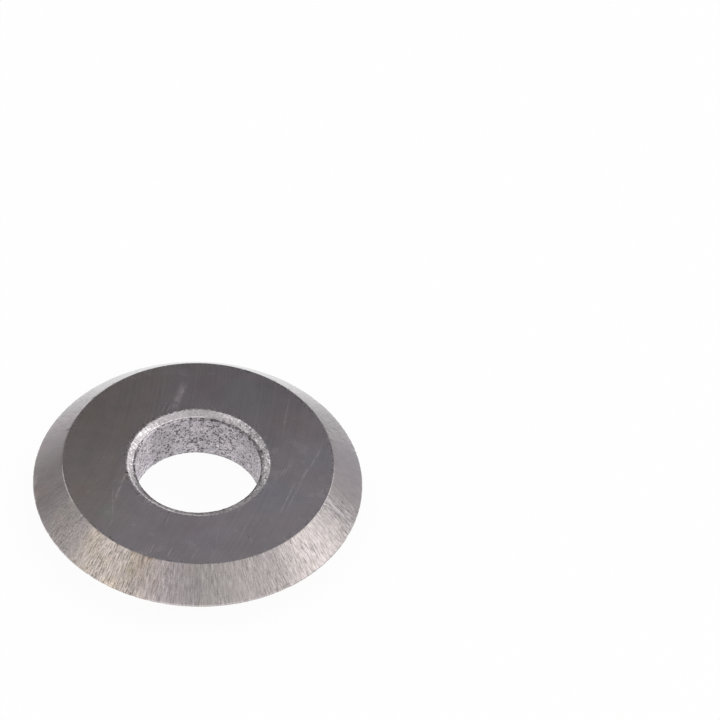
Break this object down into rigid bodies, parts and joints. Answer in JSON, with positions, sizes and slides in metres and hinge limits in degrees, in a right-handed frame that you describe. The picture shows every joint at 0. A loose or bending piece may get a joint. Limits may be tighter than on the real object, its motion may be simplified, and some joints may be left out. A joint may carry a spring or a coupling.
{
  "type": "tile cutter wheel",
  "caption": "Round carbide scoring wheel for a ceramic tile cutter, with a V-ground cutting edge, flat ground faces and a plain bore with pressed lead-ins.",
  "frame": {"origin": "centre of the bore, halfway between the two ground faces", "axes": "+Z along the bore; the wheel lies flat and is round, so +X and +Y are any two directions across it"},
  "size_m": [0.016, 0.016, 0.0028],
  "materials": {
    "ground_carbide": "fine ground, dark grey"
  },
  "bodies": {
    "root": {"cutting_wheel": "ground_carbide"}
  },
  "joints": []
}
